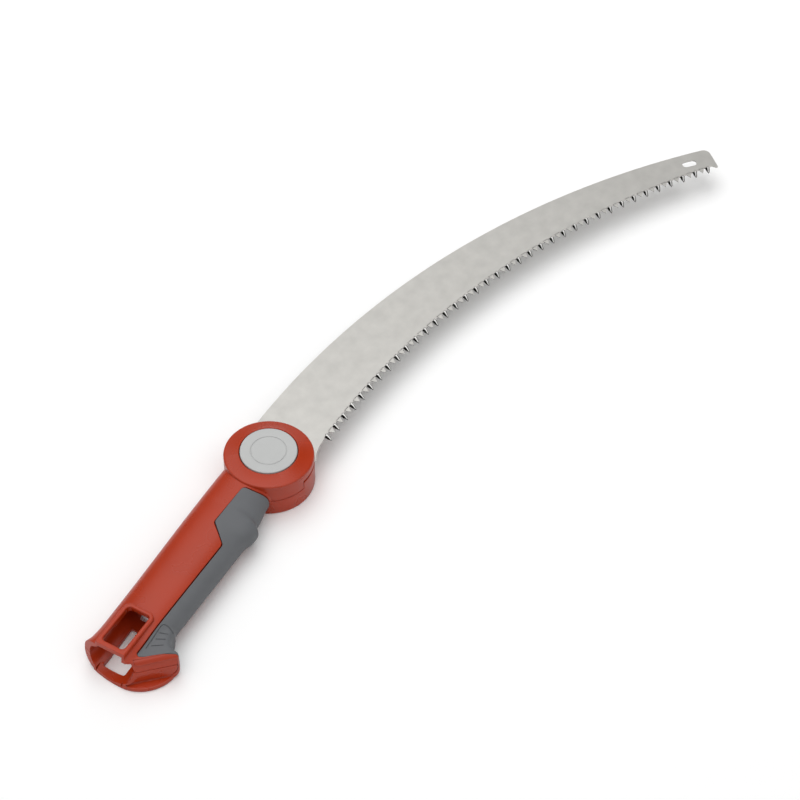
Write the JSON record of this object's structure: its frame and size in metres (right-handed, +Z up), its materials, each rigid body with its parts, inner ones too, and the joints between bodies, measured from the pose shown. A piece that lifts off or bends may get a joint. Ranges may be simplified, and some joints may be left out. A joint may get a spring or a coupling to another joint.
{
  "type": "swivelling pole saw head",
  "caption": "Curved pruning blade that swivels in a round push-button locking hub, on a moulded handle with a soft grip, a finger hook and an open socket for a pole.",
  "frame": {"origin": "on the blade's swivel axis, at the flat underside of the hub that the saw head lies on", "axes": "+Z up along the swivel axis and out through the button; the handle runs towards -X and the blade towards +X; the teeth and the finger side face -Y"},
  "size_m": [0.5692, 0.1554, 0.028],
  "materials": {
    "red_shell": "satin red paint over die-cast metal",
    "soft_grip": "matt grey soft-touch moulding",
    "button_plastic": "satin light grey",
    "blade_steel": "satin ground and plated, polished teeth",
    "hard_steel": "dark sintered steel",
    "spring_steel": "bright drawn spring steel",
    "fastener_steel": "zinc plated",
    "washer_plastic": "natural slide plastic"
  },
  "bodies": {
    "handle": {"upper_shell": "red_shell", "lower_shell": "red_shell", "grip": "soft_grip", "button_spring": "spring_steel", "pivot_sleeve": "fastener_steel", "retaining_ring": "spring_steel", "pivot_screw": "fastener_steel", "pivot_nut": "fastener_steel", "lock_ring": "hard_steel", "upper_washer": "washer_plastic", "lower_washer": "washer_plastic", "shell_screws": "fastener_steel", "socket_spring": "spring_steel", "spring_screw": "fastener_steel"},
    "blade": {"blade": "blade_steel", "blade_carrier": "hard_steel", "blade_rivets": "fastener_steel"},
    "button": {"button": "button_plastic", "lock_gear": "hard_steel", "gear_screws": "fastener_steel"}
  },
  "joints": [
    {"name": "swivel", "type": "hinge", "parent": "handle", "child": "blade", "pos_m": [0, 0, 0], "axis": [0, 0, 1], "range_deg": [-30, 60]},
    {"name": "button_press", "type": "slide", "parent": "handle", "child": "button", "axis": [0, 0, -1], "range_m": [0, 0.003], "stiffness_N_per_m": 1500, "springref_m": -0.004, "deforming": ["button_spring"]}
  ]
}
